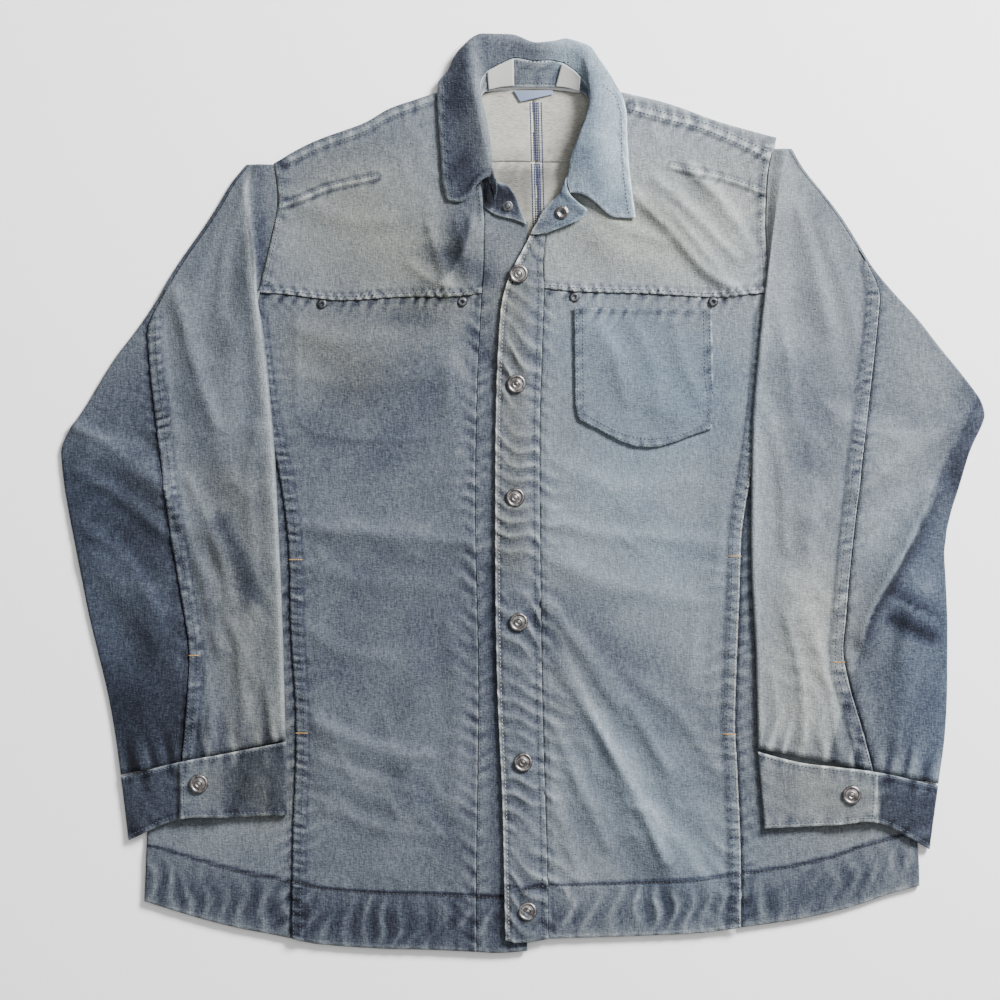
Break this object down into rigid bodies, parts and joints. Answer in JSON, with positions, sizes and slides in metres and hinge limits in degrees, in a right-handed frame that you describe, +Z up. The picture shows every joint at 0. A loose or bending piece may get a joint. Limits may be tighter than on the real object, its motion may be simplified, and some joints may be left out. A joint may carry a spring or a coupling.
{
  "type": "denim jacket",
  "caption": "Light-washed denim jacket laid flat front up, snapped shut, with a point collar, front and back yokes, a chest pocket and cuffed sleeves.",
  "frame": {"origin": "on the table, under the middle of the jacket's outline as it lies", "axes": "+Z up from the table, +Y from the hem to the collar, +X towards the wearer's left sleeve"},
  "size_m": [0.8317, 0.8265, 0.0194],
  "materials": {
    "denim_body": "mid blue-grey washed denim twill",
    "denim_yoke": "pale washed denim with a yellowish cast",
    "denim_sleeve_light": "light washed denim twill",
    "denim_sleeve_dark": "slate-blue washed denim twill",
    "denim_inside": "ecru reverse of denim twill",
    "label_satin": "plain woven label tape",
    "aged_metal": "antique copper-nickel plating",
    "dark_metal": "blackened plating"
  },
  "bodies": {
    "root": {"back_r": "denim_inside", "back_l": "denim_inside", "back_yoke_r": "denim_inside", "back_yoke_l": "denim_inside", "side_r": "denim_body", "side_l": "denim_body", "front_r": "denim_body", "front_l": "denim_body", "front_yoke_r": "denim_yoke", "front_yoke_l": "denim_yoke", "placket_r": "denim_body", "placket_l": "denim_body", "pocket_l": "denim_body", "sleeve_top_r": "denim_sleeve_light", "sleeve_top_l": "denim_sleeve_light", "sleeve_under_r": "denim_sleeve_dark", "sleeve_under_l": "denim_sleeve_dark", "cuff_r": "denim_sleeve_dark", "cuff_l": "denim_sleeve_dark", "collar_stand": "denim_yoke", "collar_fall": "denim_yoke", "care_label_r": "label_satin", "care_label_l": "label_satin", "neck_loop": "label_satin", "snap_1": "aged_metal", "snap_2": "aged_metal", "snap_3": "aged_metal", "snap_4": "aged_metal", "snap_5": "aged_metal", "snap_6": "aged_metal", "cuff_snap_r": "aged_metal", "cuff_snap_l": "aged_metal", "neck_stud": "dark_metal", "neck_socket": "aged_metal", "eyelet_1": "dark_metal", "eyelet_2": "dark_metal", "eyelet_3": "dark_metal", "eyelet_4": "dark_metal"}
  },
  "joints": []
}
